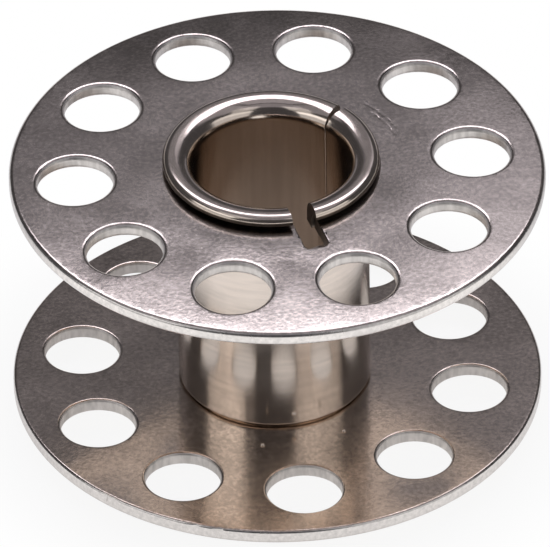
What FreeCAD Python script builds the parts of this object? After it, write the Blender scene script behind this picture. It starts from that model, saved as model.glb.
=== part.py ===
"""Steel thread bobbin: two pierced flanges held on a rolled hub tube by its curled ends.

The origin is on the axis, on the surface that the bobbin stands on. +Z runs along the bore.
Angles are measured about +Z from +X. The front of the bobbin is -Y.
"""
import FreeCAD, Part
import math
import os

import Sketcher

# Alias, value and meaning of each driving dimension, in millimetres, degrees or pieces
SIZES = (
    ("flange_diameter", "20.5", "outer diameter of both flanges"),
    ("flange_thickness", "0.56", "sheet thickness of both flanges"),
    ("winding_width", "9.25", "clear width between the flanges, which the thread fills"),
    ("edge_round", "0.2", "rounding of the rim and of the sight holes"),
    ("hole_count", "10", "sight holes in each flange"),
    ("hole_diameter", "2.9", "diameter of a sight hole"),
    ("hole_margin", "1.18", "metal between a sight hole and the rim"),
    ("upper_hole_angle", "6.15", "direction of the first sight hole in the upper flange"),
    ("lower_hole_angle", "26.2", "direction of the first sight hole in the lower flange"),
    ("bore_diameter", "6", "inside of the hub tube, which turns on the spindle"),
    ("hub_wall", "0.72", "wall of the hub tube between the flanges"),
    ("neck_wall", "0.55", "wall of the hub tube where it passes through a flange"),
    ("shoulder_round", "0.13", "rounding of the hub tube's shoulder beside a flange"),
    ("fit_clearance", "0.02", "radial room between a neck and its flange"),
    ("lip_overhang", "0.6", "reach of a curled lip past the neck, over the flange"),
    ("lip_height", "0.58", "height of a curled lip above the flange"),
    ("lip_seat", "0.15", "width of the ring with which a lip bears on the flange"),
    ("lip_gap", "0.19", "room between the flange and the lip outside that ring"),
    ("mouth_round", "0.7", "rounding from the bore onto the lip"),
    ("lip_round", "0.3", "rounding of the lip's outer edge"),
    ("lip_heel", "0.06", "rounding under the lip's outer edge"),
    ("slot_width", "0.93", "width of the drive slot"),
    ("slot_angle", "-72.2", "direction of the drive slot"),
    ("slot_reach", "1.25", "length of the drive slot past the lip"),
    ("slot_overrun", "1.5", "depth of the drive slot in the tube below the upper flange"),
    ("slot_corner", "0.25", "rounding of the corners at the drive slot's outer end"),
    ("seam_angle", "47", "direction of the tube's butt seam"),
    ("seam_gap", "0.04", "width of the seam cut at its inner end"),
    ("seam_spread", "0.3", "width of the seam cut at its outer end"),
    ("cut_margin", "0.5", "reach of a cut past the metal that it goes through"),
)

doc = FreeCAD.newDocument("bobbin")
sheet = doc.addObject("Spreadsheet::Sheet", "Sizes")
for row, (alias, value, meaning) in enumerate(SIZES, start=1):
    sheet.set(f"A{row}", meaning)
    sheet.set(f"B{row}", value)
    sheet.setAlias(f"B{row}", alias)
doc.recompute()


def size(alias):
    """Value of one cell of the sheet, for drawing a sketch at its true size."""
    return float(sheet.get(alias))


# Radii that several pieces share
BORE_RADIUS = "Sizes.bore_diameter / 2"
NECK_RADIUS = f"({BORE_RADIUS} + Sizes.neck_wall)"
LIP_RADIUS = f"({NECK_RADIUS} + Sizes.lip_overhang)"
HOLE_RING_RADIUS = "(Sizes.flange_diameter - Sizes.hole_diameter) / 2 - Sizes.hole_margin"
HOLE_CLEARANCE = "(Sizes.hole_diameter / 2 + 2 * Sizes.edge_round)"

bore_radius = size("bore_diameter") / 2
hub_radius = bore_radius + size("hub_wall")
neck_radius = bore_radius + size("neck_wall")
lip_radius = neck_radius + size("lip_overhang")
hole_ring_radius = (size("flange_diameter") - size("hole_diameter")) / 2 - size("hole_margin")
hole_clearance = size("hole_diameter") / 2 + 2 * size("edge_round")

# Point numbers of the sketch module and its own origin
START, END, CENTRE = 1, 2, 3
ORIGIN = (-1, START)
X_AXIS = -1

# Points this near to each other count as one, in millimetres
CLOSE = 1e-6


def new_body(label, height):
    """Body with its label, lifted along the axis by an expression."""
    body = doc.addObject("PartDesign::Body", label)
    body.Label = label
    body.setExpression("Placement.Base.z", height)
    return body


def origin_feature(body, role):
    """Origin plane or axis of a body, such as XY_Plane or Z_Axis."""
    return next(feature for feature in body.Origin.OriginFeatures if feature.Role == role)


def new_sketch(body, name, plane, angle=None, height=None):
    """Sketch on an origin plane, turned about its normal and raised along it by expressions."""
    sketch = body.newObject("Sketcher::SketchObject", name)
    sketch.AttachmentSupport = (origin_feature(body, plane), [""])
    sketch.MapMode = "FlatFace"
    if angle:
        # An expression can set the angle only of a turn that has an axis, so it starts at 1 degree
        sketch.AttachmentOffset = FreeCAD.Placement(
            FreeCAD.Vector(), FreeCAD.Rotation(FreeCAD.Vector(0, 0, 1), 1)
        )
        sketch.setExpression("AttachmentOffset.Rotation.Angle", angle)
    if height:
        sketch.setExpression("AttachmentOffset.Base.z", height)
    return sketch


def bind(sketch, constraint, expression):
    """Add a dimension and bind it to the sheet."""
    index = sketch.addConstraint(constraint)
    sketch.setExpression(f"Constraints[{index}]", expression)


def bind_span(sketch, direction, start, end, expression):
    """Bind the distance between two drawn points along DistanceX or DistanceY."""
    across = sketch.getPoint(*end) - sketch.getPoint(*start)
    drawn = across.x if direction == "DistanceX" else across.y
    bind(sketch, Sketcher.Constraint(direction, *start, *end, drawn), expression)


def draw_line(sketch, start, end):
    """Line between two points given as pairs."""
    return sketch.addGeometry(Part.LineSegment(FreeCAD.Vector(*start, 0), FreeCAD.Vector(*end, 0)))


def draw_arc(sketch, centre, radius, start_angle, end_angle):
    """Arc that runs anticlockwise from one angle to the other, in degrees."""
    circle = Part.Circle(FreeCAD.Vector(*centre, 0), FreeCAD.Vector(0, 0, 1), radius)
    arc = Part.ArcOfCircle(circle, math.radians(start_angle), math.radians(end_angle))
    return sketch.addGeometry(arc)


def draw_circle(sketch, centre_x, diameter, diameter_expression):
    """Circle with its centre on the sketch's X axis and its diameter bound."""
    circle = Part.Circle(FreeCAD.Vector(centre_x, 0, 0), FreeCAD.Vector(0, 0, 1), diameter / 2)
    index = sketch.addGeometry(circle)
    bind(sketch, Sketcher.Constraint("Diameter", index, diameter), diameter_expression)
    return index


def draw_strip(sketch, inner, outer, inner_width, outer_width):
    """Four-sided strip along the X axis, with each of its sizes a pair of value and expression."""
    corners = (
        (inner[0], -inner_width[0] / 2),
        (outer[0], -outer_width[0] / 2),
        (outer[0], outer_width[0] / 2),
        (inner[0], inner_width[0] / 2),
    )
    lines = [draw_line(sketch, corners[i - 1], corners[i]) for i in range(len(corners))]
    close, lower, far = lines[:3]
    for i, line in enumerate(lines):
        sketch.addConstraint(Sketcher.Constraint("Coincident", lines[i - 1], END, line, START))
    sketch.addConstraint(Sketcher.Constraint("Symmetric", close, START, close, END, X_AXIS))
    sketch.addConstraint(Sketcher.Constraint("Symmetric", far, START, far, END, X_AXIS))
    bind_span(sketch, "DistanceX", ORIGIN, (lower, START), inner[1])
    bind_span(sketch, "DistanceX", ORIGIN, (lower, END), outer[1])
    bind_span(sketch, "DistanceY", (close, END), (close, START), inner_width[1])
    bind_span(sketch, "DistanceY", (far, START), (far, END), outer_width[1])


def cut_through(body, sketch, name, sides="One side", upwards=False):
    """Pocket of a sketch through everything on one side of its plane, or on both."""
    pocket = body.newObject("PartDesign::Pocket", name)
    pocket.Profile = sketch
    pocket.SideType = sides
    pocket.Type = "ThroughAll"
    pocket.Reversed = upwards
    return pocket


def round_edges(body, base, radii):
    """Fillet on the circular edges of a feature that have one of the given radii."""
    names = []
    for number, edge in enumerate(base.Shape.Edges, start=1):
        if isinstance(edge.Curve, Part.Circle):
            if any(math.isclose(edge.Curve.Radius, radius) for radius in radii):
                names.append(f"Edge{number}")
    fillet = body.newObject("PartDesign::Fillet", "EdgeRound")
    fillet.Base = (base, names)
    fillet.setExpression("Radius", "min(Sizes.edge_round; Sizes.flange_thickness * 0.4)")
    return fillet


def slot_strip(sketch, outer):
    """Outline of the drive slot, from inside the bore out to the given end."""
    inner = (bore_radius - size("cut_margin"), f"{BORE_RADIUS} - Sizes.cut_margin")
    width = (size("slot_width"), "Sizes.slot_width")
    draw_strip(sketch, inner, outer, width, width)


def make_flange(label, height, hole_angle):
    """Blanked disc with its centre hole and its ring of sight holes, all edges broken."""
    body = new_body(label, height)

    outline = new_sketch(body, "Blank", "XY_Plane")
    centre_hole = 2 * (neck_radius + size("fit_clearance"))
    circles = (
        draw_circle(outline, 0, size("flange_diameter"), "Sizes.flange_diameter"),
        draw_circle(outline, 0, centre_hole, f"2 * ({NECK_RADIUS} + Sizes.fit_clearance)"),
    )
    for circle in circles:
        outline.addConstraint(Sketcher.Constraint("Coincident", circle, CENTRE, *ORIGIN))
    disc = body.newObject("PartDesign::Pad", "Disc")
    disc.Profile = outline
    disc.setExpression("Length", "Sizes.flange_thickness")
    doc.recompute()

    hole = new_sketch(body, "Hole", "XY_Plane", hole_angle)
    circle = draw_circle(hole, hole_ring_radius, size("hole_diameter"), "Sizes.hole_diameter")
    hole.addConstraint(Sketcher.Constraint("PointOnObject", circle, CENTRE, X_AXIS))
    bind_span(hole, "DistanceX", ORIGIN, (circle, CENTRE), HOLE_RING_RADIUS)
    first_hole = cut_through(body, hole, "FirstHole", upwards=True)
    doc.recompute()

    ring = body.newObject("PartDesign::PolarPattern", "HoleRing")
    ring.Originals = [first_hole]
    ring.Axis = (origin_feature(body, "Z_Axis"), [""])
    ring.Angle = 360
    ring.setExpression("Occurrences", "Sizes.hole_count")
    body.Tip = ring
    doc.recompute()

    round_edges(body, ring, (size("flange_diameter") / 2, size("hole_diameter") / 2))
    doc.recompute()
    return body


def cut_flange_slot(body):
    """Drive slot from the centre hole towards the sight holes, with round corners at its end."""
    sketch = new_sketch(body, "Slot", "XY_Plane", "Sizes.slot_angle * 1 deg")
    slot_end = min(lip_radius + size("slot_reach"), hole_ring_radius - hole_clearance)
    reach_limit = f"{HOLE_RING_RADIUS} - {HOLE_CLEARANCE}"
    slot_strip(sketch, (slot_end, f"min({LIP_RADIUS} + Sizes.slot_reach; {reach_limit})"))
    slot = cut_through(body, sketch, "DriveSlot", upwards=True)
    doc.recompute()

    # The corners are the upright edges at this distance from the axis
    corner_distance = math.hypot(slot_end, size("slot_width") / 2)
    names = []
    for number, edge in enumerate(slot.Shape.Edges, start=1):
        ends = [math.hypot(vertex.X, vertex.Y) for vertex in edge.Vertexes]
        if isinstance(edge.Curve, Part.Line) and len(ends) == 2:
            upright = math.isclose(edge.Vertexes[0].X, edge.Vertexes[1].X, abs_tol=CLOSE)
            if upright and math.isclose(ends[0], corner_distance, abs_tol=CLOSE):
                names.append(f"Edge{number}")
    corners = body.newObject("PartDesign::Fillet", "SlotCorners")
    corners.Base = (slot, names)
    corners.setExpression("Radius", "min(Sizes.slot_corner; Sizes.slot_width / 3)")
    doc.recompute()


def draw_tube_half(sketch):
    """Section of the hub tube from its middle to the top of its upper lip."""
    lip_width = size("neck_wall") + size("lip_overhang")
    shoulder = size("winding_width") / 2
    face = shoulder + size("flange_thickness")
    crest = face + size("lip_height")
    lip_gap = min(size("lip_gap"), size("lip_height") / 3)
    lip_depth = size("lip_height") - lip_gap
    seat_radius = neck_radius + min(size("lip_seat"), size("lip_overhang") / 2)
    mouth_round = min(size("mouth_round"), lip_width * 0.65)
    lip_round = min(size("lip_round"), lip_depth * 0.8, lip_width / 3)
    lip_heel = min(size("lip_heel"), lip_depth / 6)
    shoulder_round = min(size("shoulder_round"), (size("hub_wall") - size("neck_wall")) * 0.8)

    mouth_centre = (bore_radius + mouth_round, crest - mouth_round)
    edge_centre = (lip_radius - lip_round, crest - lip_round)
    heel_centre = (lip_radius - lip_heel, face + lip_gap + lip_heel)
    shoulder_centre = (hub_radius - shoulder_round, shoulder - shoulder_round)
    bore = draw_line(sketch, (bore_radius, 0), (bore_radius, mouth_centre[1]))
    mouth = draw_arc(sketch, mouth_centre, mouth_round, 90, 180)
    land = draw_line(sketch, (mouth_centre[0], crest), (edge_centre[0], crest))
    edge = draw_arc(sketch, edge_centre, lip_round, 0, 90)
    rim = draw_line(sketch, (lip_radius, edge_centre[1]), (lip_radius, heel_centre[1]))
    heel = draw_arc(sketch, heel_centre, lip_heel, 270, 360)
    underside = draw_line(sketch, (heel_centre[0], face + lip_gap), (seat_radius, face + lip_gap))
    relief = draw_line(sketch, (seat_radius, face + lip_gap), (seat_radius, face))
    seat = draw_line(sketch, (seat_radius, face), (neck_radius, face))
    neck = draw_line(sketch, (neck_radius, face), (neck_radius, shoulder))
    step = draw_line(sketch, (neck_radius, shoulder), (shoulder_centre[0], shoulder))
    bend = draw_arc(sketch, shoulder_centre, shoulder_round, 0, 90)
    hub = draw_line(sketch, (hub_radius, shoulder_centre[1]), (hub_radius, 0))
    middle = draw_line(sketch, (hub_radius, 0), (bore_radius, 0))

    tangents = (
        (bore, END, mouth, END),
        (mouth, START, land, START),
        (land, END, edge, END),
        (edge, START, rim, START),
        (rim, END, heel, END),
        (heel, START, underside, START),
        (step, END, bend, END),
        (bend, START, hub, START),
    )
    for tangent in tangents:
        sketch.addConstraint(Sketcher.Constraint("Tangent", *tangent))
    for chain in ((underside, relief, seat, neck, step), (hub, middle, bore)):
        for first, second in zip(chain, chain[1:]):
            sketch.addConstraint(Sketcher.Constraint("Coincident", first, END, second, START))
    for line in (bore, rim, relief, neck, hub):
        sketch.addConstraint(Sketcher.Constraint("Vertical", line))
    for line in (land, underside, seat, step, middle):
        sketch.addConstraint(Sketcher.Constraint("Horizontal", line))
    sketch.addConstraint(Sketcher.Constraint("PointOnObject", bore, START, X_AXIS))

    gap_limit = "min(Sizes.lip_gap; Sizes.lip_height / 3)"
    seat_limit = "min(Sizes.lip_seat; Sizes.lip_overhang / 2)"
    bind_span(sketch, "DistanceX", ORIGIN, (bore, START), BORE_RADIUS)
    bind_span(sketch, "DistanceX", (bore, START), (hub, END), "Sizes.hub_wall")
    bind_span(sketch, "DistanceX", (bore, START), (neck, START), "Sizes.neck_wall")
    bind_span(sketch, "DistanceX", (neck, START), (rim, START), "Sizes.lip_overhang")
    bind_span(sketch, "DistanceX", (seat, END), (seat, START), seat_limit)
    bind_span(sketch, "DistanceY", (hub, END), (step, START), "Sizes.winding_width / 2")
    bind_span(sketch, "DistanceY", (neck, END), (neck, START), "Sizes.flange_thickness")
    bind_span(sketch, "DistanceY", (neck, START), (land, START), "Sizes.lip_height")
    bind_span(sketch, "DistanceY", (relief, END), (relief, START), gap_limit)

    lip_width_sum = "(Sizes.neck_wall + Sizes.lip_overhang)"
    depth_left = f"(Sizes.lip_height - {gap_limit})"
    step_width = "(Sizes.hub_wall - Sizes.neck_wall)"
    rounds = (
        (mouth, mouth_round, f"min(Sizes.mouth_round; {lip_width_sum} * 0.65)"),
        (edge, lip_round, f"min(Sizes.lip_round; {depth_left} * 0.8; {lip_width_sum} / 3)"),
        (heel, lip_heel, f"min(Sizes.lip_heel; {depth_left} / 6)"),
        (bend, shoulder_round, f"min(Sizes.shoulder_round; {step_width} * 0.8)"),
    )
    for arc, radius, expression in rounds:
        bind(sketch, Sketcher.Constraint("Radius", arc, radius), expression)


def make_hub(label, height):
    """Rolled tube with a shoulder under each flange and a curled lip over it."""
    body = new_body(label, height)

    section = new_sketch(body, "TubeHalf", "XZ_Plane")
    draw_tube_half(section)
    half = body.newObject("PartDesign::Revolution", "UpperHalf")
    half.Profile = section
    half.ReferenceAxis = (section, ["V_Axis"])
    half.Angle = 360
    doc.recompute()

    tube = body.newObject("PartDesign::Mirrored", "Tube")
    tube.Originals = [half]
    tube.MirrorPlane = (origin_feature(body, "XY_Plane"), [""])
    tube.Refine = True
    body.Tip = tube
    doc.recompute()

    seam = new_sketch(body, "Seam", "XY_Plane", "Sizes.seam_angle * 1 deg")
    inner = (bore_radius - size("cut_margin"), f"{BORE_RADIUS} - Sizes.cut_margin")
    outer = (lip_radius + size("cut_margin"), f"{LIP_RADIUS} + Sizes.cut_margin")
    gap = (size("seam_gap"), "Sizes.seam_gap")
    spread = (size("seam_spread"), "Sizes.seam_spread")
    draw_strip(seam, inner, outer, gap, spread)
    cut_through(body, seam, "ButtSeam", sides="Symmetric")
    doc.recompute()

    slot_floor = "Sizes.winding_width / 2 - Sizes.slot_overrun"
    slot = new_sketch(body, "Slot", "XY_Plane", "Sizes.slot_angle * 1 deg", slot_floor)
    slot_strip(slot, outer)
    cut_through(body, slot, "DriveSlot", upwards=True)
    doc.recompute()
    return body


# Heights of the pieces above the standing surface
LOWER_FACE = "Sizes.lip_height"
SHOULDER = f"({LOWER_FACE} + Sizes.flange_thickness)"
MIDDLE = f"{SHOULDER} + Sizes.winding_width / 2"
UPPER_FACE = f"{SHOULDER} + Sizes.winding_width"

lower_flange = make_flange("lower_flange", LOWER_FACE, "Sizes.lower_hole_angle * 1 deg")
upper_flange = make_flange("upper_flange", UPPER_FACE, "Sizes.upper_hole_angle * 1 deg")
cut_flange_slot(upper_flange)
hub_tube = make_hub("hub_tube", MIDDLE)
doc.recompute()

for item in doc.Objects:
    if "Invalid" in item.State or "Error" in item.State:
        raise RuntimeError(f"{item.Label} failed: {item.State}")

# A cut that points away from its solid removes nothing, so each one is compared with its base
for item in doc.Objects:
    if item.TypeId == "PartDesign::Pocket":
        removed = item.BaseFeature.Shape.Volume - item.Shape.Volume
        if removed <= 0:
            raise RuntimeError(f"{item.Label} removes nothing")

pieces = (hub_tube, lower_flange, upper_flange)
for piece in pieces:
    if piece.Shape.isNull() or not piece.Shape.isValid() or len(piece.Shape.Solids) != 1:
        raise RuntimeError(f"{piece.Label} is not one valid solid")

os.makedirs("parts", exist_ok=True)
for piece in pieces:
    piece.Shape.exportStep(f"parts/{piece.Label}.step")
    box = piece.Shape.optimalBoundingBox()
    print(piece.Label, f"{piece.Shape.Volume:.2f} mm3", f"{box.XLength:.3f} across")
    print("  height", f"{box.ZMin:.3f} to {box.ZMax:.3f}")
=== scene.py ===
# %% [markdown]
# A thread bobbin for a sewing machine, as a lesson in bright worn metal.
# The frame gives three solids at their true size: a hub tube and two flanges. They could stay as
# they are with a better finish, but they show the part as designed, without a bend or a knock. So
# each is modelled again here and takes the place of its solid. The sizes that the frame's boxes
# give are read from them, so that this script and the solids agree.

# %% Frame and sizes from it
import math

import bpy
from mathutils import Matrix, Vector


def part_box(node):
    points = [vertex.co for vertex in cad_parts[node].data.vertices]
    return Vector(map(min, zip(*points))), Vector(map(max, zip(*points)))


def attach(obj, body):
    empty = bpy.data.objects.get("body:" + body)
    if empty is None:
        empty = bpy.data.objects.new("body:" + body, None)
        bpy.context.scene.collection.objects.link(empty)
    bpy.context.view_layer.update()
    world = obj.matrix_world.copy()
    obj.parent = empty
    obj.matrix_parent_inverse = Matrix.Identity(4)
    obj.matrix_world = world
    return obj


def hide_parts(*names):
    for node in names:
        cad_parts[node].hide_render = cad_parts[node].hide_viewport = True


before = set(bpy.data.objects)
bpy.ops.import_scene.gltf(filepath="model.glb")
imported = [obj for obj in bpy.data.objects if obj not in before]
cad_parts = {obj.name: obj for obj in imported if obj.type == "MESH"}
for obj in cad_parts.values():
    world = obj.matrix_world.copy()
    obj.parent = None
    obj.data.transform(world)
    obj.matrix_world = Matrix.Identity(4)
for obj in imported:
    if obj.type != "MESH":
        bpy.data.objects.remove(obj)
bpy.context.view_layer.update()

MM = 0.001
lower_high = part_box("lower_flange")[1] / MM
upper_low, upper_high = (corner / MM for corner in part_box("upper_flange"))
hub_low, hub_high = (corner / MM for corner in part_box("hub_tube"))

flange_radius = upper_high.x
flange_thickness = upper_high.z - upper_low.z
lip_radius = hub_high.x
middle_height = (hub_low.z + hub_high.z) / 2
shoulder_height = upper_low.z
print("flange radius", round(flange_radius, 3), "mm, lip radius", round(lip_radius, 3), "mm")

# %% [markdown]
# By hand, points, edges and faces are picked with the mouse. A script picks them by a test of their
# place or of where they face, which gives the same choice on each run. Everything is drawn in
# millimetres, because the operators' own tolerances suit shapes of a few units better than shapes
# of a few thousandths.

# %% Picking as by hand
def start_fresh():
    """Leave edit mode and deselect everything, so that an operator finds only what it should."""
    if bpy.context.mode != "OBJECT":
        bpy.ops.object.mode_set(mode="OBJECT")
    bpy.ops.object.select_all(action="DESELECT")


def pick(obj, mode, test):
    """Edit an object with only those vertices, edges or faces selected that pass a test."""
    start_fresh()
    bpy.context.view_layer.objects.active = obj
    obj.select_set(True)
    bpy.ops.object.mode_set(mode="EDIT")
    bpy.ops.mesh.select_mode(type=mode)
    bpy.ops.mesh.select_all(action="DESELECT")
    bpy.ops.object.mode_set(mode="OBJECT")
    mesh = obj.data
    count = 0
    if mode == "VERT":
        for vertex in mesh.vertices:
            vertex.select = test(vertex.co)
            count += vertex.select
    elif mode == "EDGE":
        for edge in mesh.edges:
            start, end = (mesh.vertices[i].co for i in edge.vertices)
            edge.select = test(start, end)
            count += edge.select
    else:
        for face in mesh.polygons:
            face.select = test(face.center, face.normal)
            count += face.select
    bpy.ops.object.mode_set(mode="EDIT")
    return count


def reach(point):
    """Distance of a point from the bobbin's axis."""
    return math.hypot(point.x, point.y)


start_fresh()
print("ready, with", len(bpy.context.selected_objects), "objects selected")

# %% [markdown]
# A flange is a blank of thin sheet with a centre hole and a ring of sight holes. Its outline lies
# a tenth of a millimetre off the centre of the holes. It could be a disc with the holes cut by
# booleans, but circles drawn on one plane and filled between give the same outline with evenly
# spaced points round every edge, which the bevel needs. The plate between the lip and the holes
# is drawn as rings, so that it can be scratched and bent later.

# %% Flange blank
HOLE_COUNT = 10
HOLE_RADIUS = 1.45
HOLE_MARGIN = 1.18
hole_ring_radius = flange_radius - HOLE_MARGIN - HOLE_RADIUS
CENTRE_HOLE_RADIUS = 3.57
PLATE_RING_RADIUS = 5.9
RING_SLACK = 0.1
BEND_RING_RADII = (5.5, 5.3, 5.25, 5.2, 5.08, 5.03, 4.98, 4.7, 4.3, 4.08, CENTRE_HOLE_RADIUS)
RIM_POINTS = 360
HOLE_POINTS = 64


def add_ring(points, radius, x, y, z):
    """Circle of loose edges, in the mesh that is being edited or in a new object."""
    bpy.ops.mesh.primitive_circle_add(
        vertices=points, radius=radius, fill_type="NOTHING", location=(x, y, z)
    )


def draw_flange(top, first_hole_angle, rim_offset):
    """Perforated plate with its upper face at the given height and square edges."""
    start_fresh()
    add_ring(RIM_POINTS, flange_radius, rim_offset, 0, top)
    plate = bpy.context.object
    bpy.ops.object.transform_apply(location=True, rotation=True, scale=True)
    bpy.ops.object.mode_set(mode="EDIT")
    for i in range(HOLE_COUNT):
        angle = math.radians(first_hole_angle + 360 * i / HOLE_COUNT)
        hole_x = hole_ring_radius * math.cos(angle)
        hole_y = hole_ring_radius * math.sin(angle)
        add_ring(HOLE_POINTS, HOLE_RADIUS, hole_x, hole_y, top)
    add_ring(RIM_POINTS, PLATE_RING_RADIUS, 0, 0, top)
    bpy.ops.mesh.select_all(action="SELECT")
    bpy.ops.mesh.fill(use_beauty=True)
    on_ring = PLATE_RING_RADIUS + RING_SLACK
    pick(plate, "EDGE", lambda start, end: max(reach(start), reach(end)) < on_ring)
    radius = PLATE_RING_RADIUS
    for next_radius in BEND_RING_RADII:
        bpy.ops.mesh.extrude_edges_move()
        ratio = next_radius / radius
        bpy.ops.transform.resize(value=(ratio, ratio, 1), center_override=(0, 0, top))
        radius = next_radius
    bpy.ops.mesh.select_all(action="SELECT")
    bpy.ops.mesh.extrude_region_move(TRANSFORM_OT_translate={"value": (0, 0, -flange_thickness)})
    bpy.ops.mesh.select_all(action="SELECT")
    bpy.ops.mesh.normals_make_consistent(inside=False)
    start_fresh()
    print("flange blank with", HOLE_COUNT, "holes,", len(plate.data.polygons), "faces")
    return plate


UPPER_HOLE_ANGLE = 6.15
LOWER_HOLE_ANGLE = 26.2
UPPER_RIM_OFFSET = 0.125
LOWER_RIM_OFFSET = 0.083
upper_flange = draw_flange(upper_high.z, UPPER_HOLE_ANGLE, UPPER_RIM_OFFSET)
lower_flange = draw_flange(lower_high.z, LOWER_HOLE_ANGLE, LOWER_RIM_OFFSET)

# %% [markdown]
# The drive slot gives the pin of a winder's spindle something to push. It runs from the centre out
# through the upper flange, the lip and the tube's end. It could be drawn into the flange's outline,
# but a bar that a boolean cuts away serves the tube as well. The bar is a cube stretched along the
# slot, with its two outer corners rounded.

# %% Drive slot
SLOT_WIDTH = 0.93
SLOT_ANGLE = math.radians(-72.2)
SLOT_REACH = 1.25
SLOT_INNER = 2
SLOT_CORNER = 0.25
CORNER_SEGMENTS = 6
CUT_MARGIN = 0.5
slot_end = lip_radius + SLOT_REACH


def slot_cutter(angle, inner, outer, low, high):
    """Bar along a direction between two radii and two heights."""
    start_fresh()
    middle = (inner + outer) / 2
    place = (middle * math.cos(angle), middle * math.sin(angle), (low + high) / 2)
    bpy.ops.mesh.primitive_cube_add(size=1, location=place, rotation=(0, 0, angle))
    bar = bpy.context.object
    bar.scale = (outer - inner, SLOT_WIDTH, high - low)
    bpy.ops.object.transform_apply(location=True, rotation=True, scale=True)

    def outer_corner(start, end):
        return abs(start.z - end.z) > CUT_MARGIN and reach(start) > middle

    pick(bar, "EDGE", outer_corner)
    bpy.ops.mesh.bevel(offset=SLOT_CORNER, segments=CORNER_SEGMENTS, affect="EDGES")
    start_fresh()
    return bar


def cut(obj, cutter):
    """Take the cutter's shape out of an object and throw the cutter away."""
    start_fresh()
    bpy.context.view_layer.objects.active = obj
    obj.select_set(True)
    bpy.ops.object.modifier_add(type="BOOLEAN")
    boolean = obj.modifiers[-1]
    boolean.operation = "DIFFERENCE"
    boolean.solver = "EXACT"
    boolean.object = cutter
    bpy.ops.object.modifier_apply(modifier=boolean.name)
    bpy.data.objects.remove(cutter)


slot_floor = upper_low.z - CUT_MARGIN
slot_top = upper_high.z + CUT_MARGIN
cut(upper_flange, slot_cutter(SLOT_ANGLE, SLOT_INNER, slot_end, slot_floor, slot_top))
print("slot to", round(slot_end, 2), "mm from the axis")

# %% [markdown]
# Blanking leaves the rim and the holes slightly rolled over, and years of tumbling in a drawer
# round them more. The rounds could be drawn ring by ring, but a bevel of several segments on the
# sharp edges gives the soft line of light that every edge shows in one step. The slot was cut
# later and stays crisper, and the lower plate's edges are less round than the upper plate's.

# %% Rolled edges
EDGE_ROUND = 0.2
LOWER_EDGE_ROUND = 0.13
SLOT_EDGE_ROUND = 0.06
EDGE_SEGMENTS = 7
ROUND_PROFILE = 0.5
SHARP_EDGE = math.radians(60)
HIDDEN_RADIUS = 4.2


def in_slot(point):
    """Whether a point lies within the slot's outline or on its edge."""
    along = point.x * math.cos(SLOT_ANGLE) + point.y * math.sin(SLOT_ANGLE)
    across = point.y * math.cos(SLOT_ANGLE) - point.x * math.sin(SLOT_ANGLE)
    slack = SLOT_WIDTH / 100
    return 0 < along < slot_end + slack and abs(across) < SLOT_WIDTH / 2 + slack


def slot_edge(start, end):
    """Whether both ends of an edge lie in the slot."""
    return in_slot(start) and in_slot(end)


def roll_edges(plate, size, chosen):
    """Round those sharp level edges of a plate, outside the lip, that are chosen."""
    pick(plate, "EDGE", lambda start, end: False)
    bpy.ops.mesh.edges_select_sharp(sharpness=SHARP_EDGE)
    bpy.ops.object.mode_set(mode="OBJECT")
    mesh = plate.data
    count = 0
    for edge in mesh.edges:
        start, end = (mesh.vertices[i].co for i in edge.vertices)
        level = abs(start.z - end.z) < SLOT_EDGE_ROUND
        outside = min(reach(start), reach(end)) > HIDDEN_RADIUS
        edge.select = edge.select and level and outside and chosen(start, end)
        count += edge.select
    bpy.ops.object.mode_set(mode="EDIT")
    bpy.ops.mesh.bevel(offset=size, segments=EDGE_SEGMENTS, profile=ROUND_PROFILE, affect="EDGES")
    start_fresh()
    print(count, "edges rounded by", size, "mm")


roll_edges(upper_flange, EDGE_ROUND, lambda start, end: not slot_edge(start, end))
roll_edges(upper_flange, SLOT_EDGE_ROUND, slot_edge)
roll_edges(lower_flange, LOWER_EDGE_ROUND, lambda start, end: True)

# %% [markdown]
# No thin stamping stays quite flat, but a mesh can only bend where it has points, and the filled
# plates have few between their edges. Subdividing would split their long thin triangles into more
# of the same. Straight cuts both ways give an even grid and leave every outline as it is.

# %% Divided plates
GRID_STEP = 0.5


def divide(plate):
    """Straight cuts both ways across a plate, at an even step."""
    pick(plate, "VERT", lambda co: True)
    count = int(flange_radius / GRID_STEP)
    for i in range(-count, count + 1):
        for direction in ((1, 0, 0), (0, 1, 0)):
            bpy.ops.mesh.select_all(action="SELECT")
            offset = [GRID_STEP * i * part for part in direction]
            bpy.ops.mesh.bisect(plane_co=offset, plane_no=direction)
    start_fresh()
    print("plate divided into", len(plate.data.polygons), "faces")


divide(upper_flange)
divide(lower_flange)

# %% [markdown]
# Two fine scratches run round beside the lip. They could be painted into the finish, but a pressed
# line catches the light from any side. The blank was drawn with three close rings of points for
# each scratch, and a stretch of the middle ring is pushed down.

# %% Scratches
SCRATCH_DEPTH = 0.015
SCRATCHES = ((5.25, 27, 48), (5.03, 21, 41))


def scratch(plate, top, radius, first, last):
    """Press a stretch of a fine ring of points into the upper face, between two angles."""
    def on_arc(co):
        near = abs(reach(co) - radius) < SCRATCH_DEPTH
        turn = math.degrees(math.atan2(co.y, co.x))
        return near and first < turn < last and co.z > top - SCRATCH_DEPTH

    count = pick(plate, "VERT", on_arc)
    bpy.ops.transform.translate(value=(0, 0, -SCRATCH_DEPTH))
    start_fresh()
    print("scratch of", count, "points at radius", radius)


for radius, first, last in SCRATCHES:
    scratch(upper_flange, upper_high.z, radius, first, last)

# %% [markdown]
# The upper plate leans towards the front, and the curling press has drawn both rims towards each
# other. Turning the plate as a whole would give the lean, but the lip holds its middle, so a
# proportional turn takes part of the lean back there. Each rim is moved up or down by one
# proportional move that fades towards the hub, as a bend in springy sheet does.

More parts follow.
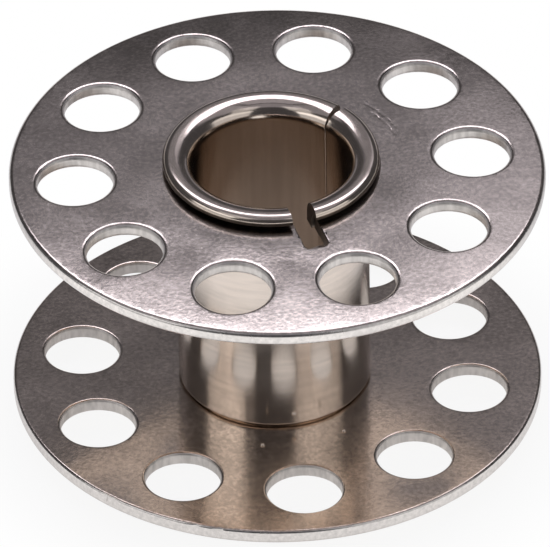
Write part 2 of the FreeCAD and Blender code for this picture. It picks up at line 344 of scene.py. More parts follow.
# %% Bent plates
LEAN = math.radians(1.345)
CENTRE_LEAN = math.radians(0.5)
CENTRE_RADIUS = 4.35
CENTRE_BEND = 2.2
UPPER_DROOP = 0.13
LOWER_RISE = 0.06
BEND_START = 4.4


def lean(plate, top):
    """Lean a whole plate to the front, a little less close to the lip that holds it."""
    pick(plate, "VERT", lambda co: True)
    bpy.ops.transform.rotate(value=-LEAN, orient_axis="X", center_override=(0, 0, top))
    pick(plate, "VERT", lambda co: reach(co) < CENTRE_RADIUS)
    bpy.ops.transform.rotate(
        value=CENTRE_LEAN,
        orient_axis="X",
        center_override=(0, 0, top),
        use_proportional_edit=True,
        proportional_edit_falloff="SMOOTH",
        proportional_size=CENTRE_BEND,
    )
    start_fresh()


def bend_rim(plate, rim_offset, lift):
    """Move a plate's rim up or down, fading towards the hub."""
    rim_start = flange_radius - EDGE_ROUND
    pick(plate, "VERT", lambda co: math.hypot(co.x - rim_offset, co.y) > rim_start)
    bpy.ops.transform.translate(
        value=(0, 0, lift),
        use_proportional_edit=True,
        proportional_edit_falloff="SHARP",
        proportional_size=flange_radius - BEND_START,
    )
    start_fresh()
    heights = [vertex.co.z for vertex in plate.data.vertices if reach(vertex.co) > rim_start]
    print("rim heights from", round(min(heights), 3), "to", round(max(heights), 3), "mm")


lean(upper_flange, upper_high.z)
bend_rim(upper_flange, UPPER_RIM_OFFSET, -UPPER_DROOP)
bend_rim(lower_flange, LOWER_RIM_OFFSET, LOWER_RISE)

# %% [markdown]
# The hub is a strip of sheet rolled into a tube, with both ends curled over the flanges. Its section
# goes up the bore, over the curled lip, down the neck that the flange sits on, and along the outside
# of the tube. It could be typed in as a list of points, but arcs and lines between named sizes are
# easier to correct. The lower half is the same section turned over, with an open line at its foot.

# %% Tube section
BORE_RADIUS = 3
HUB_RADIUS = 3.72
NECK_RADIUS = 3.55
SEAT_RADIUS = 3.7
LIP_GAP = 0.19
MOUTH_ROUND = 0.7
LIP_ROUND = 0.3
LIP_HEEL = 0.06
SHOULDER_ROUND = 0.13
FOOT_GAP = 0.07
ARC_STEPS = 7
face_height = upper_high.z
crest_height = hub_high.z


def arc(centre_r, centre_z, radius, start, end):
    """Points of a round stretch of the section, with angles in degrees from outwards to up."""
    turns = [math.radians(start + (end - start) * i / ARC_STEPS) for i in range(ARC_STEPS + 1)]
    return [(centre_r + radius * math.cos(a), centre_z + radius * math.sin(a)) for a in turns]


def tube_half(shoulder_gap):
    """Section from the middle of the bore over the upper lip to the middle of the outside."""
    shoulder = shoulder_height - shoulder_gap
    points = [(BORE_RADIUS, middle_height)]
    points += arc(BORE_RADIUS + MOUTH_ROUND, crest_height - MOUTH_ROUND, MOUTH_ROUND, 180, 90)
    points += arc(lip_radius - LIP_ROUND, crest_height - LIP_ROUND, LIP_ROUND, 90, 0)
    points += arc(lip_radius - LIP_HEEL, face_height + LIP_GAP + LIP_HEEL, LIP_HEEL, 0, -90)
    points += [(SEAT_RADIUS, face_height + LIP_GAP), (SEAT_RADIUS, face_height)]
    points += [(NECK_RADIUS, face_height), (NECK_RADIUS, shoulder)]
    points += arc(HUB_RADIUS - SHOULDER_ROUND, shoulder - SHOULDER_ROUND, SHOULDER_ROUND, 90, 0)
    points += [(HUB_RADIUS, middle_height)]
    return points


upper_section = tube_half(0)
lower_section = [(r, 2 * middle_height - z) for r, z in reversed(tube_half(FOOT_GAP)[1:-1])]
section = upper_section + lower_section
print("tube section of", len(section), "points")

# %% [markdown]
# Spinning the section round the axis would give the tube. Extruding one ring of points along the
# section, and scaling it at each step, is the plainer way, because every size is seen as it is made.
# The last ring falls on the first, and the doubles are merged.

# %% Hub tube
HUB_POINTS = 288
MERGE_DISTANCE = 0.001

start_fresh()
radius, height = section[0]
add_ring(HUB_POINTS, radius, 0, 0, height)
hub_tube = bpy.context.object
bpy.ops.object.transform_apply(location=True, rotation=True, scale=True)
bpy.ops.object.mode_set(mode="EDIT")
bpy.ops.mesh.select_all(action="SELECT")
for next_radius, next_height in section[1:] + section[:1]:
    bpy.ops.mesh.extrude_edges_move(TRANSFORM_OT_translate={"value": (0, 0, next_height - height)})
    ratio = next_radius / radius
    bpy.ops.transform.resize(value=(ratio, ratio, 1), center_override=(0, 0, next_height))
    radius, height = next_radius, next_height
bpy.ops.mesh.select_all(action="SELECT")
bpy.ops.mesh.remove_doubles(threshold=MERGE_DISTANCE)
bpy.ops.mesh.normals_make_consistent(inside=False)
start_fresh()
print("hub tube of", len(hub_tube.data.polygons), "faces")

# %% [markdown]
# The strip's two ends meet in a butt seam, which is a hairline in the bore and opens over the lips.
# The ring of points could be left open there, but the gap would then be nearly as wide in the bore
# as outside. A wedge that is cut away opens outwards: it is a thin bar whose outer end is stretched.
# A second, wider wedge opens the curl of the upper lip more.

# %% Butt seam
SEAM_ANGLE = math.radians(47)
SEAM_GAP = 0.012
SEAM_SPREAD = 0.3
LIP_SPREAD = 0.6
seam_outer = lip_radius + CUT_MARGIN
cut_top = crest_height + CUT_MARGIN


def seam_cutter(spread, low, high):
    """Wedge along the seam, thin in the bore and wider outside, between two heights."""
    start_fresh()
    inner = BORE_RADIUS - SEAM_GAP
    place = ((inner + seam_outer) / 2, 0, (low + high) / 2)
    bpy.ops.mesh.primitive_cube_add(size=1, location=place)
    wedge = bpy.context.object
    wedge.scale = (seam_outer - inner, SEAM_GAP, high - low)
    bpy.ops.object.transform_apply(location=True, rotation=True, scale=True)
    pick(wedge, "VERT", lambda co: co.x > lip_radius)
    bpy.ops.transform.resize(value=(1, spread / SEAM_GAP, 1), center_override=(0, 0, 0))
    start_fresh()
    wedge.rotation_euler.z = SEAM_ANGLE
    bpy.context.view_layer.objects.active = wedge
    wedge.select_set(True)
    bpy.ops.object.transform_apply(location=True, rotation=True, scale=True)
    return wedge


cut(hub_tube, seam_cutter(SEAM_SPREAD, -CUT_MARGIN, cut_top))
cut(hub_tube, seam_cutter(LIP_SPREAD, face_height + LIP_GAP / 2, cut_top))
print("seam at", round(math.degrees(SEAM_ANGLE), 1), "degrees")

# %% [markdown]
# The drive slot goes on as a notch in the tube's end. Below the flange the notch is wider to the
# right than the slot above it. One wider bar would widen the slot in the lip as well, so the slot's
# own bar is used twice: once through the lip, and once below the flange, turned a little.

# %% Notch in the tube
SLOT_OVERRUN = 1.5
NOTCH_ANGLE = math.radians(-63)
notch_floor = shoulder_height - SLOT_OVERRUN

cut(hub_tube, slot_cutter(SLOT_ANGLE, SLOT_INNER, seam_outer, notch_floor, cut_top))
cut(hub_tube, slot_cutter(NOTCH_ANGLE, SLOT_INNER, seam_outer, notch_floor, shoulder_height))
print("notch down to", round(notch_floor, 2), "mm")

# %% [markdown]
# The tube was not curled quite square: its upper lip leans with the flange that it holds, and
# stands a little to the left. A turn of the whole tube would lift its lower lip off the floor, so
# both are proportional moves of the upper end that fade down the tube.

# %% Leaning lip
LIP_OFFSET = -0.11
LEAN_LENGTH = 2

pick(hub_tube, "VERT", lambda co: co.z > shoulder_height - SHOULDER_ROUND * 2)
bpy.ops.transform.rotate(
    value=-LEAN,
    orient_axis="X",
    center_override=(0, 0, face_height),
    use_proportional_edit=True,
    proportional_edit_falloff="SMOOTH",
    proportional_size=LEAN_LENGTH,
)
bpy.ops.transform.translate(
    value=(LIP_OFFSET, 0, 0),
    use_proportional_edit=True,
    proportional_edit_falloff="LINEAR",
    proportional_size=shoulder_height,
)
start_fresh()
print("upper lip", LIP_OFFSET, "mm off the axis")

# %% [markdown]
# The strip's ends do not meet flush: one edge of the seam stands a little further out than the
# other. It could be cut and moved as a piece of its own. A proportional move of the seam's edge that
# follows only joined points does it more smoothly, because it cannot cross the open seam.

# %% Stepped seam
SEAM_STEP = 0.06


def behind_seam(co):
    """Whether a point lies on the seam's right-hand edge."""
    along = co.x * math.cos(SEAM_ANGLE) + co.y * math.sin(SEAM_ANGLE)
    across = co.y * math.cos(SEAM_ANGLE) - co.x * math.sin(SEAM_ANGLE)
    return along > 0 and -SEAM_SPREAD / 2 < across < -SEAM_GAP / 4


count = pick(hub_tube, "VERT", behind_seam)
bpy.ops.transform.translate(
    value=(SEAM_STEP * math.cos(SEAM_ANGLE), SEAM_STEP * math.sin(SEAM_ANGLE), 0),
    use_proportional_edit=True,
    use_proportional_connected=True,
    proportional_edit_falloff="SMOOTH",
    proportional_size=LEAN_LENGTH,
)
start_fresh()
print(count, "points of the seam's edge moved out by", SEAM_STEP, "mm")

# %% [markdown]
# Drops on a hard floor leave nicks in the rim. Each could be cut with a small ball, but a dent is
# metal pushed aside and not metal taken away. So a nick is a small proportional push on the rim's
# points, inwards and a little down.

# %% Nicks in the rim
NICK_DEPTH = 0.09
NICK_SIZE = 0.2
NICK_DROP = 0.5
RIM_NICKS = (230, 232.2, 248.6, 251.8, 257.2)


def nick(plate, top, rim_offset, angle):
    """Knock a small dent into the rim, just under its upper edge."""
    angle = math.radians(angle)
    inwards = Vector((-math.cos(angle), -math.sin(angle), 0))
    centre = Vector((rim_offset, 0, top - NICK_SIZE)) - inwards * flange_radius
    pick(plate, "VERT", lambda co: (co - centre).length < NICK_DEPTH)
    push = (inwards + Vector((0, 0, -NICK_DROP))) * NICK_DEPTH
    bpy.ops.transform.translate(
        value=push,
        use_proportional_edit=True,
        proportional_edit_falloff="SHARP",
        proportional_size=NICK_SIZE,
    )
    start_fresh()


for angle in RIM_NICKS:
    nick(lower_flange, lower_high.z + LOWER_RISE, LOWER_RIM_OFFSET, angle)
print(len(RIM_NICKS), "nicks in the lower rim")

# %% [markdown]
# The plating bath leaves a few round beads on the metal. They could be pulled out of the surface,
# but it has too few points for that. So each bead is a small sphere, sunk by half into its piece
# and joined to it.

# %% Beads of plating
BEAD_RADIUS = 0.1
BEAD_SEGMENTS = 16
BEAD_RINGS = 8
PLATE_BEADS = ((4.74, 303.5), (4.83, 264))
TUBE_BEAD_ANGLE = 281
TUBE_BEAD_HEIGHT = 1.77


def bead(piece, radius, angle, height):
    """Sphere of plating on a piece, joined to it."""
    angle = math.radians(angle)
    start_fresh()
    place = (radius * math.cos(angle), radius * math.sin(angle), height)
    bpy.ops.mesh.primitive_uv_sphere_add(
        segments=BEAD_SEGMENTS, ring_count=BEAD_RINGS, radius=BEAD_RADIUS, location=place
    )
    bpy.ops.object.transform_apply(location=True, rotation=True, scale=True)
    piece.select_set(True)
    bpy.context.view_layer.objects.active = piece
    bpy.ops.object.join()


for radius, angle in PLATE_BEADS:
    bead(lower_flange, radius, angle, lower_high.z)
bead(hub_tube, HUB_RADIUS, TUBE_BEAD_ANGLE, TUBE_BEAD_HEIGHT)
print(len(PLATE_BEADS) + 1, "beads of plating")

# %% [markdown]
# On the real bobbin the curled lips clamp the flanges, and the pieces were drawn in those places.
# What is left is to shrink each piece to metres, to apply that scale, and to let the piece stand for
# its solid. Shading everything smooth would blur the flat faces into their rounds, so sharp edges
# stay sharp and weighted normals keep the flat faces flat.

# %% Pieces in their places
SMOOTH_ANGLE = math.radians(40)


def finish_piece(obj, name, node):
    """Shade a piece by its true faces, shrink it to metres and put it in the place of its solid."""
    start_fresh()
    bpy.context.view_layer.objects.active = obj
    obj.select_set(True)
    bpy.ops.object.shade_smooth_by_angle(angle=SMOOTH_ANGLE)
    bpy.ops.object.modifier_add(type="WEIGHTED_NORMAL")
    obj.modifiers[-1].keep_sharp = True
    bpy.ops.object.modifier_apply(modifier=obj.modifiers[-1].name)
    obj.scale = (MM, MM, MM)
    bpy.ops.object.transform_apply(location=True, rotation=True, scale=True)
    obj.name = name
    obj.data.name = name
    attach(obj, "root")
    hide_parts(node)
    print(name, len(obj.data.polygons), "faces")


finish_piece(upper_flange, "upper_flange_plate", "upper_flange")
finish_piece(lower_flange, "lower_flange_plate", "lower_flange")
finish_piece(hub_tube, "hub_tube_plate", "hub_tube")

# %% [markdown]
# The metal's grain, its clouds of tarnish and the smudges of handling are far too small or too faint
# to be modelled. A painted picture could carry them, but it would need a map of every piece. Noise
# that follows the object needs none, and has no joins. Most of a noise lies near its middle, so
# that part is stretched over the range of values that a finish needs.

# %% Noise for the finishes
NOISE_MIDDLE = (0.3, 0.7)
EVEN = (1, 1, 1)


def noise(material, stretch, scale, detail):
    """Noise that follows the object, with its scale in spots per metre."""
    nodes = material.node_tree.nodes
    links = material.node_tree.links
    place = nodes.new("ShaderNodeTexCoord")
    mapping = nodes.new("ShaderNodeMapping")
    mapping.inputs["Scale"].default_value = stretch
    links.new(place.outputs["Object"], mapping.inputs["Vector"])
    texture = nodes.new("ShaderNodeTexNoise")
    texture.inputs["Scale"].default_value = scale
    texture.inputs["Detail"].default_value = detail
    links.new(mapping.outputs["Vector"], texture.inputs["Vector"])
    return texture.outputs["Fac"]


def spread(material, value, low, high):
    """Stretch the middle of a noise over a range of values."""
    ramp = material.node_tree.nodes.new("ShaderNodeMapRange")
    ramp.inputs["From Min"].default_value = NOISE_MIDDLE[0]
    ramp.inputs["From Max"].default_value = NOISE_MIDDLE[1]
    ramp.inputs["To Min"].default_value = low
    ramp.inputs["To Max"].default_value = high
    material.node_tree.links.new(value, ramp.inputs["Value"])
    return ramp.outputs["Result"]


print("noise is stretched from", NOISE_MIDDLE[0], "to", NOISE_MIDDLE[1])

# %% [markdown]
# Nickel plate is a warm grey mirror. Tumbling pits the flanges finely, so that they look speckled,
# and the lower flange and the tube have tarnished browner. The tube was drawn through a die, which
# leaves fine lines along it. One plain metal colour would look like new chrome. So every finish is
# the same metal with a grain in its tone and surface, stretched along the tube for the drawn lines,
# with clouds in its tone and smudges in its roughness.

# %% Plated finishes
NICKEL = (0.72, 0.64, 0.575)
TARNISHED = (0.72, 0.625, 0.545)
DRAWN_LINES = (1, 1, 0.04)
GRAIN_DETAIL = 2
SMUDGE_SCALE = 500
SMUDGE_DETAIL = 3
SMUDGE_SHARE = 0.25
CLOUD_SCALE = 300
CLOUD_DETAIL = 4


def plated_finish(
    name, metal, roughness, grain_scale, grain_contrast, bump_height, clouds, grain_stretch=EVEN
):
    """Metal with a grain in its tone and surface, clouds in its tone and smudges in its roughness."""
    material = bpy.data.materials.new(name)
    material.use_nodes = True
    nodes = material.node_tree.nodes
    links = material.node_tree.links
    shader = nodes["Principled BSDF"]
    shader.inputs["Metallic"].default_value = 1

    grain = noise(material, grain_stretch, grain_scale, GRAIN_DETAIL)
    cloud = spread(material, noise(material, EVEN, CLOUD_SCALE, CLOUD_DETAIL), -clouds, clouds)
    shift = nodes.new("ShaderNodeMath")
    shift.operation = "ADD"
    links.new(grain, shift.inputs[0])
    links.new(cloud, shift.inputs[1])
    tone = nodes.new("ShaderNodeValToRGB")
    dark, light = tone.color_ramp.elements
    dark.position, light.position = NOISE_MIDDLE
    dark.color = [part * (1 - grain_contrast) for part in metal] + [1]
    light.color = [part * (1 + grain_contrast) for part in metal] + [1]
    links.new(shift.outputs["Value"], tone.inputs["Fac"])
    links.new(tone.outputs["Color"], shader.inputs["Base Color"])

    smudge = noise(material, EVEN, SMUDGE_SCALE, SMUDGE_DETAIL)
    smooth, dull = roughness * (1 - SMUDGE_SHARE), roughness * (1 + SMUDGE_SHARE)
    links.new(spread(material, smudge, smooth, dull), shader.inputs["Roughness"])

    bump = nodes.new("ShaderNodeBump")
    bump.inputs["Distance"].default_value = bump_height
    links.new(grain, bump.inputs["Height"])
    links.new(bump.outputs["Normal"], shader.inputs["Normal"])
    return material


flange_finish = plated_finish(
    "tumbled_nickel",
    NICKEL,
    roughness=0.16,
    grain_scale=6500,
    grain_contrast=0.18,
    bump_height=2.2e-6,
    clouds=0.16,
)
lower_finish = plated_finish(
    "tarnished_nickel",
    TARNISHED,
    roughness=0.16,
    grain_scale=6500,
    grain_contrast=0.18,
    bump_height=2.2e-6,
    clouds=0.16,
)
tube_finish = plated_finish(
    "drawn_nickel",
    TARNISHED,
    roughness=0.15,
    grain_scale=3500,
    grain_contrast=0.05,
    bump_height=1e-6,
    clouds=0.1,
    grain_stretch=DRAWN_LINES,
)
finishes = {upper_flange: flange_finish, lower_flange: lower_finish, hub_tube: tube_finish}
for piece, finish in finishes.items():
    piece.data.materials.clear()
    piece.data.materials.append(finish)
    print(piece.name, "in", finish.name)

# %% [markdown]
# A punch tears the lower part of a hole's wall, so the walls of the sight holes are duller than the
# faces. The torn lines could be modelled, but at this size a rough finish with a grain that is
# stretched down the wall looks the same. It is given to the steep faces inside the holes.

# %% Sheared walls
WORN = (0.7, 0.67, 0.645)
TORN_LINES = (1, 1, 0.3)
STEEP = 0.75
sheared_finish = plated_finish(
    "sheared_nickel",
    WORN,
    roughness=0.5,
    grain_scale=5000,
    grain_contrast=0.14,
    bump_height=4e-6,
    clouds=0.1,
    grain_stretch=TORN_LINES,
)


def in_hole(point, first_hole_angle):
    """Whether a point lies within or on the wall of a sight hole."""
    turn = math.degrees(math.atan2(point.y, point.x)) - first_hole_angle
    nearest = round(turn * HOLE_COUNT / 360) * 360 / HOLE_COUNT
    angle = math.radians(first_hole_angle + nearest)
    to_right = point.x - hole_ring_radius * math.cos(angle)
    to_back = point.y - hole_ring_radius * math.sin(angle)
    return math.hypot(to_right, to_back) < HOLE_RADIUS + EDGE_ROUND


def hole_walls(first_hole_angle):
    """Test for the steep faces inside a flange's sight holes."""
    return lambda centre, normal: abs(normal.z) < STEEP and in_hole(centre / MM, first_hole_angle)


def coat(piece, finish, chosen):
    """Give a finish to the chosen faces of a piece."""
    piece.data.materials.append(finish)
    count = pick(piece, "FACE", chosen)
    piece.active_material_index = len(piece.data.materials) - 1
    bpy.ops.object.material_slot_assign()
    start_fresh()
    print(count, "faces of", finish.name, "on", piece.name)


coat(upper_flange, sheared_finish, hole_walls(UPPER_HOLE_ANGLE))
coat(lower_flange, sheared_finish, hole_walls(LOWER_HOLE_ANGLE))

# %% [markdown]
# The rims are worn pale by handling. A mask that fades towards the edge could do this inside one
# finish, but the wear stops where the rim turns into the flat face, so a finish of its own on the
# steep faces is enough.

# %% Worn rims
worn_finish = plated_finish(
    "worn_rim",
    WORN,
    roughness=0.25,
    grain_scale=6500,
    grain_contrast=0.1,
    bump_height=2e-6,
    clouds=0.1,
)


def rim_wall(rim_offset):
    """Test for the steep faces round a flange's rim."""
    inner = flange_radius - EDGE_ROUND

    def steep_rim(centre, normal):
        outside = math.hypot(centre.x / MM - rim_offset, centre.y / MM) > inner
        return outside and abs(normal.z) < STEEP

    return steep_rim


coat(upper_flange, worn_finish, rim_wall(UPPER_RIM_OFFSET))
coat(lower_flange, worn_finish, rim_wall(LOWER_RIM_OFFSET))

# %% [markdown]
# Thread has rubbed round the outside of the tube for years. Those fine rings smear what the wall
# mirrors up and down. Modelling them would take thousands of rings, and a bump so fine would only
# flicker. The shader's own anisotropy stretches the shine instead, along the tube's axis.

# %% Rubbed wall
RUBBED_RINGS = (0.1, 0.1, 1)
SHINE_STRETCH = 0.8
QUARTER_TURN = 0.25
rubbed_finish = plated_finish(
    "rubbed_nickel",
    NICKEL,
    roughness=0.17,
    grain_scale=5000,
    grain_contrast=0.06,
    bump_height=5e-7,
    clouds=0.1,
    grain_stretch=RUBBED_RINGS,
)
shader = rubbed_finish.node_tree.nodes["Principled BSDF"]
shader.inputs["Anisotropic"].default_value = SHINE_STRETCH
shader.inputs["Anisotropic Rotation"].default_value = QUARTER_TURN
around = rubbed_finish.node_tree.nodes.new("ShaderNodeTangent")
around.direction_type = "RADIAL"
around.axis = "Z"
rubbed_finish.node_tree.links.new(around.outputs["Tangent"], shader.inputs["Tangent"])


def rubbed(centre, normal):
    """Whether a face belongs to the outside of the tube between the flanges."""
    height = centre.z / MM
    between = lower_high.z + SHOULDER_ROUND < height < shoulder_height - SHOULDER_ROUND
    outside = reach(centre) / MM > (BORE_RADIUS + HUB_RADIUS) / 2
    return between and outside and abs(normal.z) < STEEP


coat(hub_tube, rubbed_finish, rubbed)

# %% [markdown]
# The slot and the crevice under the upper lip lie in shade, and a dark finish paints that shade in.
# A shade that looks for corners could darken them, but it would darken every corner alike. So the
# painted shade is one more finish, on the walls of the slot, on the neck beside it and under the lip.

# %% Painted shade in crevices
# Near-black colour of the painted shade in the slot and under the lip, not a film of oil.
CREVICE_SHADE_COLOUR = (0.11, 0.09, 0.075)
SLOT_TURN = math.radians(20)
# Dark finish that paints the shade of the crevices into their faces.
painted_shade_finish = plated_finish(
    "painted_shade_film",
    CREVICE_SHADE_COLOUR,
    roughness=0.45,
    grain_scale=3000,
    grain_contrast=0.3,
    bump_height=3e-6,
    clouds=0.2,
)


def slot_walls(centre, normal):
    """Whether a face belongs to the slot's walls in the tube."""
    across = normal.y * math.cos(SLOT_ANGLE) - normal.x * math.sin(SLOT_ANGLE)
    return in_slot(centre / MM) and centre.z / MM > middle_height and abs(across) > STEEP


def under_lip(centre, normal):
    """Whether a face belongs to the crevice between the upper lip and its flange."""
    in_gap = 0 < centre.z / MM - face_height < LIP_GAP + LIP_HEEL
    return in_gap and reach(centre) / MM > SEAT_RADIUS - LIP_HEEL and normal.z < STEEP


def beside_slot(centre):
    """Whether a face belongs to the tube's neck or shoulder close to the slot."""
    turn = math.atan2(centre.y, centre.x) - SLOT_ANGLE
    neck = shoulder_height - 2 * SHOULDER_ROUND < centre.z / MM < face_height + LIP_GAP
    return neck and abs(turn) < SLOT_TURN and reach(centre) / MM > NECK_RADIUS - LIP_HEEL


def tube_crevice(centre, normal):
    """Whether a face of the tube lies in the slot, under the lip or close to the slot."""
    return slot_walls(centre, normal) or under_lip(centre, normal) or beside_slot(centre)


def plate_crevice(centre, normal):
    """Whether a face of the upper flange lies in the slot's wall or under the lip."""
    covered = reach(centre) / MM < lip_radius - LIP_HEEL and normal.z > -STEEP
    return covered or (abs(normal.z) < STEEP and in_slot(centre / MM))


# The painted shade goes on the flange's slot walls and under the lip, and on the tube's crevices.
coat(upper_flange, painted_shade_finish, plate_crevice)
coat(hub_tube, painted_shade_finish, tube_crevice)

# %% [markdown]
# The bobbin stands on white paper. A plain white floor could be lit until it is white, but so
# much light would burn the metal out. So the paper has two glows besides its own white: one for what
# the camera sees of it, and one for what the metal mirrors of it.

# %% Floor
FLOOR_SIZE = 3
PAPER = (0.9, 0.9, 0.9, 1)
WARM_TINT = (1.0, 0.99, 0.99)
SEEN_STRENGTH = 1
MIRROR_STRENGTH = 1.2

start_fresh()
bpy.ops.mesh.primitive_plane_add(size=FLOOR_SIZE, location=(0, 0, 0))
floor = bpy.context.object
floor.name = "floor"
white = bpy.data.materials.new("white_floor")
white.use_nodes = True
nodes = white.node_tree.nodes
links = white.node_tree.links
nodes.clear()
out = nodes.new("ShaderNodeOutputMaterial")
paper = nodes.new("ShaderNodeBsdfDiffuse")
paper.inputs["Color"].default_value = PAPER
seen_glow = nodes.new("ShaderNodeEmission")
seen_glow.inputs["Strength"].default_value = SEEN_STRENGTH
mirror_glow = nodes.new("ShaderNodeEmission")
mirror_glow.inputs["Color"].default_value = WARM_TINT + (1,)
mirror_glow.inputs["Strength"].default_value = MIRROR_STRENGTH
floor.data.materials.append(white)
print("floor of", FLOOR_SIZE, "m")

# %% [markdown]
# The bobbin shades the paper that it stands on. Close to it, a tenth of what the camera sees of the
# paper is the lit paper itself, with the real shadow. The metal could mirror the lit paper too, but
# the lamps leave that grey. So it mirrors a glow that fades by place: the glow is darker below the
# bore, under and round the flanges, and towards the back.

# %% Shade on the floor
path = nodes.new("ShaderNodeLightPath")
place = nodes.new("ShaderNodeTexCoord")
distance = nodes.new("ShaderNodeVectorMath")
distance.operation = "LENGTH"
links.new(place.outputs["Object"], distance.inputs[0])
sides = nodes.new("ShaderNodeSeparateXYZ")
links.new(place.outputs["Object"], sides.inputs["Vector"])
from_axis, to_back = distance.outputs["Value"], sides.outputs["Y"]
SEEN_FADE = (from_axis, 9, 15, 0.9, 1)
BORE_FADE = (from_axis, 3, 5, 0.35, 1)
ROUND_FADE = (from_axis, 14, 22, 0.75, 1)
FLANGE_FADE = (from_axis, 10, 11.5, 0.62, 1)
BACK_FADE = (to_back, -8, 12, 1, 0.45)


def fade(value, start, end, low, high):
    """Change from one level to another over a stretch of a distance, in millimetres."""
    ramp = nodes.new("ShaderNodeMapRange")
    ramp.interpolation_type = "SMOOTHSTEP"
    ramp.inputs["From Min"].default_value = start * MM
    ramp.inputs["From Max"].default_value = end * MM
    ramp.inputs["To Min"].default_value = low
    ramp.inputs["To Max"].default_value = high
    links.new(value, ramp.inputs["Value"])
    return ramp.outputs["Result"]


def combine(operation, first, second):
    """Result of a calculation on two values of the floor's material."""
    node = nodes.new("ShaderNodeMath")
    node.operation = operation
    links.new(first, node.inputs[0])
    links.new(second, node.inputs[1])
    return node.outputs["Value"]


def blend(share, first, second):
    """Mix of two shaders by a share."""
    mix = nodes.new("ShaderNodeMixShader")
    links.new(share, mix.inputs["Fac"])
    links.new(first, mix.inputs[1])
    links.new(second, mix.inputs[2])
    return mix.outputs["Shader"]


camera_share = combine("MULTIPLY", path.outputs["Is Camera Ray"], fade(*SEEN_FADE))
glossy, passing = path.outputs["Is Glossy Ray"], path.outputs["Is Transmission Ray"]
mirror_share = combine("MAXIMUM", glossy, passing)
for stretch in (BORE_FADE, ROUND_FADE, FLANGE_FADE, BACK_FADE):
    mirror_share = combine("MULTIPLY", mirror_share, fade(*stretch))
seen = blend(camera_share, paper.outputs["BSDF"], seen_glow.outputs["Emission"])
shown = blend(mirror_share, seen, mirror_glow.outputs["Emission"])
links.new(shown, out.inputs["Surface"])
print("floor finish of", len(nodes), "nodes")

# %% [markdown]
# The room round the paper is dim and grey. A bright world would light the bobbin evenly from all
# sides and leave the metal flat, so the world only keeps the darkest mirrored parts from going black.

# %% Surroundings
ROOM_GREY = (0.06, 0.059, 0.064, 1)

scene = bpy.context.scene
world = bpy.data.worlds.new("surroundings")
scene.world = world
world.use_nodes = True
background = world.node_tree.nodes["Background"]
background.inputs["Color"].default_value = ROOM_GREY
background.inputs["Strength"].default_value = 1
print("room of grey", ROOM_GREY[:3])

# %% [markdown]
# Metal shows what it faces, so the lamps stand where its surfaces mirror them: boxes overhead and
# panels behind for the flat flanges, and strips at both sides for the round tube. The others fill
# in the lip and the other sides of the bobbin. Spot lamps would leave hard glints, so all are soft
# rectangles at one distance. Each row gives a name, a direction as azimuth and elevation in
# degrees, a width and a height in millimetres, a level at which 1 is white, and a tint.

# %% Lamps
LAMP_TINT = (1.0, 0.978, 1.11)
LAMP_DISTANCE = 130
LAMPS = (
    ("overhead_box", 90, 61, 125, 56, 2.35, LAMP_TINT),
    ("right_overhead_box", 5, 61, 92, 56, 0.25, LAMP_TINT),
    ("left_overhead_box", 180, 61, 92, 56, 0.2, LAMP_TINT),
    ("front_overhead_box", 270, 62, 125, 56, 0.2, LAMP_TINT),
    ("top_box", 90, 88, 66, 66, 0.3, LAMP_TINT),
    ("back_right_panel", 73, 43, 36, 28, 0.38, LAMP_TINT),
    ("back_panel", 110, 43, 100, 28, 0.13, LAMP_TINT),
    ("left_strip", 210, 31, 99, 28, 1.35, WARM_TINT),
    ("left_low_strip", 210, 14, 99, 48, 0.55, WARM_TINT),
    ("right_strip", 324, 31, 124, 28, 0.86, WARM_TINT),
    ("right_low_strip", 324, 14, 124, 48, 0.58, WARM_TINT),
    ("left_front_box", 228, 48, 60, 46, 0.48, WARM_TINT),
    ("right_front_box", 310, 48, 60, 46, 0.45, WARM_TINT),
    ("back_strip", 90, 7, 180, 28, 0.2, LAMP_TINT),
)


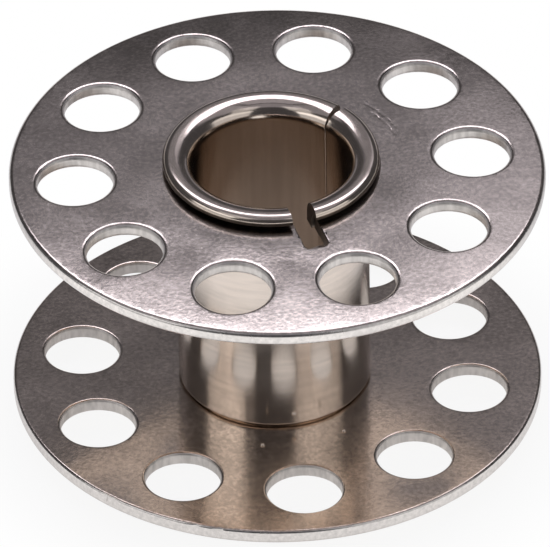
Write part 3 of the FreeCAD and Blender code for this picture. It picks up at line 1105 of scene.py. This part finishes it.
def soft_lamp(name, azimuth, elevation, width, height, level, tint):
    """Soft rectangular lamp in a direction from the bobbin's middle, and facing it."""
    azimuth, elevation = math.radians(azimuth), math.radians(elevation)
    flat = math.cos(elevation) * LAMP_DISTANCE
    rise = math.sin(elevation) * LAMP_DISTANCE
    object_middle = Vector((0, 0, middle_height))
    place = object_middle + Vector((flat * math.cos(azimuth), flat * math.sin(azimuth), rise))
    lamp = bpy.data.lights.new(name, "AREA")
    lamp.shape = "RECTANGLE"
    lamp.size = width * MM
    lamp.size_y = height * MM
    lamp.energy = math.pi * lamp.size * lamp.size_y * level
    lamp.color = tint
    holder = bpy.data.objects.new(name, lamp)
    scene.collection.objects.link(holder)
    holder.location = place * MM
    holder.rotation_euler = (object_middle - place).to_track_quat("-Z", "Y").to_euler()


for row in LAMPS:
    soft_lamp(*row)
print(len(LAMPS), "lamps", LAMP_DISTANCE, "mm from the bobbin")

# %% [markdown]
# The camera stands where the photo was taken from: in front, about 37 degrees above the horizon,
# with a long lens and the faintest roll. It could be placed by eye, but the rims and the sight holes
# of both flanges fix its place, so its angles and its distance were fitted to them.

# %% Camera
ELEVATION = math.radians(36.81)
ROLL = math.radians(0.39)
CAMERA_DISTANCE = 335.1
PIXELS_PER_MM = 25.978
FRAME_WIDTH = 550
SENSOR_WIDTH = 36
AIM_RIGHT = 0.327 / PIXELS_PER_MM
AIM_UP = -5.697 / PIXELS_PER_MM
CLIP_START = 0.01
between_faces = (lower_high.z + upper_high.z) / 2

camera_data = bpy.data.cameras.new("camera")
camera = bpy.data.objects.new("camera", camera_data)
scene.collection.objects.link(camera)
camera_data.sensor_width = SENSOR_WIDTH
camera_data.sensor_fit = "HORIZONTAL"
camera_data.lens = PIXELS_PER_MM * CAMERA_DISTANCE * SENSOR_WIDTH / FRAME_WIDTH
camera_data.clip_start = CLIP_START
back = Vector((0, -math.cos(ELEVATION), math.sin(ELEVATION)))
up = Vector((0, math.sin(ELEVATION), math.cos(ELEVATION)))
aim = Vector((AIM_RIGHT, 0, between_faces)) + up * AIM_UP
camera.location = (aim + back * CAMERA_DISTANCE) * MM
turn = back.to_track_quat("Z", "Y").to_matrix() @ Matrix.Rotation(-ROLL, 3, "Z")
camera.rotation_euler = turn.to_euler()
scene.camera = camera
scene.view_settings.view_transform = "Standard"
print("camera with a lens of", round(camera_data.lens), "mm")
